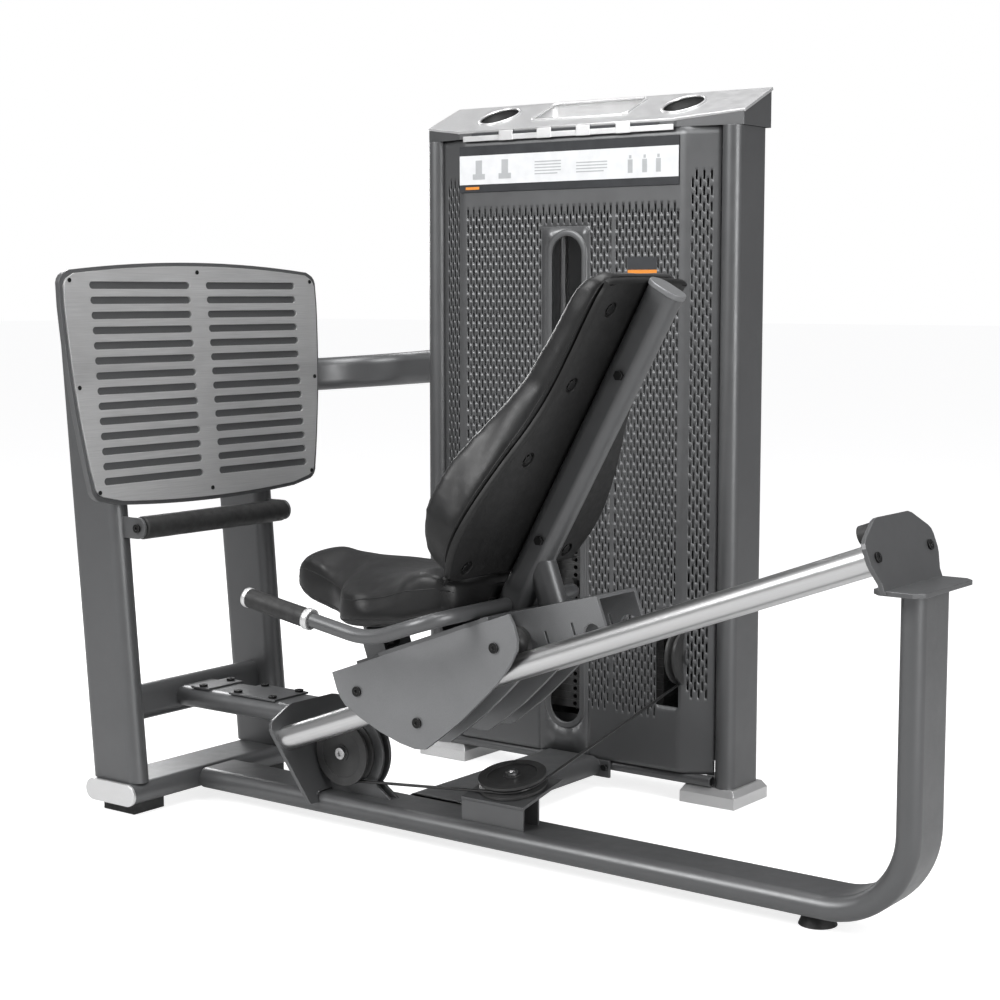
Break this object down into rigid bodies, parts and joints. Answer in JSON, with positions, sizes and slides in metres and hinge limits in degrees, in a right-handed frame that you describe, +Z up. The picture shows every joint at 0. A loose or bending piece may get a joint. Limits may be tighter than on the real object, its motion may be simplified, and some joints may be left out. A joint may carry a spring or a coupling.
{
  "type": "selectorised_seated_leg_press",
  "caption": "Seated leg press with a fixed slotted footplate, a padded seat carriage on two inclined chrome rods and a weight-stack cabinet with a silver tray",
  "frame": {"origin": "centre of the bounding box on the floor", "axes": "+Z up, +X from the footplate towards the rear post, +Y from the seat towards the weight cabinet"},
  "size_m": [1.8957, 1.0644, 1.51],
  "materials": {
    "frame_paint": "dark graphite grey, satin metallic powder coat",
    "plate_paint": "mid grey, satin metallic powder coat",
    "rod_chrome": "bright chrome, polished, light scratches along the rods",
    "bolt_steel": "steel grey, zinc plated",
    "bolt_black": "black, black oxide",
    "cast_silver": "silver, painted cast aluminium, satin",
    "tread_plate": "light grey, brushed",
    "pad_leather": "black, soft grain vinyl",
    "black_rubber": "black, matt",
    "shell_plastic": "black, fine texture",
    "roller_plastic": "dark grey nylon, satin",
    "pulley_plastic": "dark grey nylon, satin, worn groove",
    "iron_plates": "dark grey, painted, satin",
    "placard_face": "dark blue grey, blank face",
    "cable_jacket": "black, nylon coated steel cable",
    "pin_knob": "black, moulded knob on a steel pin"
  },
  "bodies": {
    "frame": {"cross_foot": "frame_paint", "foot_end_caps": "cast_silver", "rubber_feet": "black_rubber", "main_beam": "frame_paint", "uprights": "frame_paint", "mid_crossbeam": "frame_paint", "rail_tube": "frame_paint", "rail_plates": "frame_paint", "front_bracket": "frame_paint", "rear_bracket": "frame_paint", "guide_rods": "rod_chrome", "rubber_stops": "black_rubber", "footplate_back": "frame_paint", "footplate_tread": "tread_plate", "foam_roller_bar": "frame_paint", "upper_arm": "frame_paint", "lateral_beam": "frame_paint", "frame_bolts": "bolt_black", "front_pulley_cheeks": "frame_paint", "corner_pulley_mount": "frame_paint", "lower_pulley_bracket": "frame_paint", "top_pulley_beam": "frame_paint", "pulley_bolts": "bolt_steel", "fixed_cable": "cable_jacket", "cabinet_columns": "frame_paint", "cabinet_shoes": "cast_silver", "cabinet_cross_tubes": "frame_paint", "front_panel": "frame_paint", "rear_panel": "frame_paint", "placard": "placard_face", "top_tray": "cast_silver", "stack_guide_rods": "rod_chrome", "resting_plates": "iron_plates"},
    "carriage": {"carriage_side_plates": "plate_paint", "carriage_channel": "plate_paint", "carriage_top": "frame_paint", "roller_axles": "bolt_black", "back_post": "frame_paint", "back_shell": "shell_plastic", "back_pad": "pad_leather", "carriage_bolts": "bolt_black", "seat_pad": "pad_leather", "handle_bars": "frame_paint", "handle_grips": "black_rubber", "carriage_cable": "cable_jacket"},
    "stack": {"lifted_plates": "iron_plates", "stack_head": "iron_plates", "stack_stem": "bolt_steel", "stack_cable": "cable_jacket"},
    "selector_pin": {"selector_pin": "pin_knob"},
    "range_pin": {"range_pin": "pin_knob"},
    "foam_roller": {"foam_roller": "black_rubber"},
    "front_rollers": {"front_rollers": "roller_plastic"},
    "middle_rollers": {"middle_rollers": "roller_plastic"},
    "rear_rollers": {"rear_rollers": "roller_plastic"},
    "front_pulley": {"front_pulley": "pulley_plastic"},
    "corner_pulley": {"corner_pulley": "pulley_plastic"},
    "lower_pulley": {"lower_pulley": "pulley_plastic"},
    "top_pulley_outer": {"top_pulley_outer": "pulley_plastic"},
    "top_pulley_inner": {"top_pulley_inner": "pulley_plastic"}
  },
  "joints": [
    {"name": "carriage_slide", "type": "slide", "parent": "frame", "child": "carriage", "axis": [0.9385, 0, 0.3453], "range_m": [0, 0.535], "deforming": ["carriage_cable"]},
    {"name": "stack_lift", "type": "slide", "parent": "frame", "child": "stack", "axis": [0, 0, 1], "range_m": [0, 0.536], "deforming": ["stack_cable"]},
    {"name": "selector_pin_pull", "type": "slide", "parent": "stack", "child": "selector_pin", "axis": [0, -1, 0], "range_m": [0, 0.078]},
    {"name": "range_pin_pull", "type": "slide", "parent": "carriage", "child": "range_pin", "axis": [0.9385, 0, 0.3453], "range_m": [0, 0.01], "stiffness_N_per_m": 400, "springref_m": -0.004},
    {"name": "foam_roller_spin", "type": "hinge", "parent": "frame", "child": "foam_roller", "pos_m": [-0.7268, -0.15775, 0.602], "axis": [0, 1, 0], "continuous": true},
    {"name": "front_rollers_spin", "type": "hinge", "parent": "carriage", "child": "front_rollers", "pos_m": [-0.20108, -0.15775, 0.31552], "axis": [0, 1, 0], "range_deg": [-10, 1500]},
    {"name": "middle_rollers_spin", "type": "hinge", "parent": "carriage", "child": "middle_rollers", "pos_m": [-0.05141, -0.15775, 0.27363], "axis": [0, 1, 0], "range_deg": [-1500, 10]},
    {"name": "rear_rollers_spin", "type": "hinge", "parent": "carriage", "child": "rear_rollers", "pos_m": [0.13021, -0.15775, 0.43741], "axis": [0, 1, 0], "range_deg": [-10, 1500]},
    {"name": "front_pulley_spin", "type": "hinge", "parent": "frame", "child": "front_pulley", "pos_m": [-0.3341, -0.18475, 0.154], "axis": [0, 1, 0], "range_deg": [-10, 560]},
    {"name": "corner_pulley_spin", "type": "hinge", "parent": "frame", "child": "corner_pulley", "pos_m": [0.0469, -0.12775, 0.143], "axis": [0, -0.2079, 0.9781], "range_deg": [-560, 10]},
    {"name": "lower_pulley_spin", "type": "hinge", "parent": "frame", "child": "lower_pulley", "pos_m": [0.1049, 0.41225, 0.313], "axis": [1, 0, 0], "range_deg": [-600, 10]},
    {"name": "top_pulley_outer_spin", "type": "hinge", "parent": "frame", "child": "top_pulley_outer", "pos_m": [0.0609, 0.46625, 1.33], "axis": [0, 1, 0], "range_deg": [-10, 720]},
    {"name": "top_pulley_inner_spin", "type": "hinge", "parent": "frame", "child": "top_pulley_inner", "pos_m": [-0.1401, 0.46625, 1.33], "axis": [0, 1, 0], "range_deg": [-10, 720]}
  ],
  "couplings": [
    {"joint": "stack_lift", "follows": "carriage_slide", "ratio": 1},
    {"joint": "front_rollers_spin", "follows": "carriage_slide", "rad_per_m": 47.17},
    {"joint": "middle_rollers_spin", "follows": "carriage_slide", "rad_per_m": -47.17},
    {"joint": "rear_rollers_spin", "follows": "carriage_slide", "rad_per_m": 47.17},
    {"joint": "front_pulley_spin", "follows": "carriage_slide", "rad_per_m": 17.241},
    {"joint": "corner_pulley_spin", "follows": "carriage_slide", "rad_per_m": -17.241},
    {"joint": "lower_pulley_spin", "follows": "carriage_slide", "rad_per_m": -18.518},
    {"joint": "top_pulley_outer_spin", "follows": "carriage_slide", "rad_per_m": 22.727},
    {"joint": "top_pulley_inner_spin", "follows": "carriage_slide", "rad_per_m": 22.727}
  ]
}
